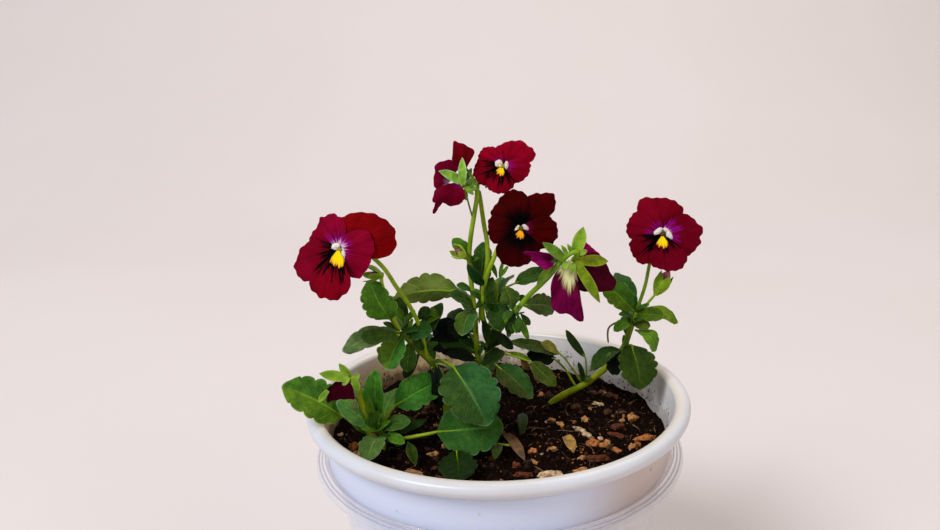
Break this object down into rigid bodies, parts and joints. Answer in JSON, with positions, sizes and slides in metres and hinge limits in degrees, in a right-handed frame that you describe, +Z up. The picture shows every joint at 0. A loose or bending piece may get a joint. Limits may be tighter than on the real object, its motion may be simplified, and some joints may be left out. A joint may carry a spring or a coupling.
{
  "type": "potted pansy planter",
  "caption": "Clump of crimson pansies with toothed leaves, growing in peat in a round white pot that stands in a clear cover pot.",
  "frame": {"origin": "centre of the cover pot's underside, on the pots' axis, where the planter rests", "axes": "+Z up along the pots' axis, -Y towards the front of the plant, +X to the right seen from the front"},
  "size_m": [0.2128, 0.2, 0.3033],
  "materials": {
    "cover": "clear, glossy",
    "pot": "satin white, a little soiled",
    "soil": "damp crumbly peat with bark chips",
    "leaf": "soft satin green",
    "petal": "velvet crimson",
    "dark_petal": "velvet maroon, nearly black",
    "back_petal": "silky magenta",
    "bud": "satin maroon",
    "dead_leaf": "dry, dull"
  },
  "bodies": {
    "root": {"cover_pot": "cover", "pot": "pot", "soil": "soil", "stem_left": "leaf", "stem_front_left": "leaf", "stem_centre": "leaf", "stem_right": "leaf", "bloom_left": "petal", "bloom_top": "petal", "bloom_right": "petal", "bloom_side": "petal", "bloom_dark": "dark_petal", "bloom_nodding": "dark_petal", "bloom_back": "back_petal", "bud_centre": "bud", "bud_right": "bud", "dead_leaf_brown": "dead_leaf", "dead_leaf_ochre": "dead_leaf", "dead_leaf_left": "dead_leaf"}
  },
  "joints": []
}
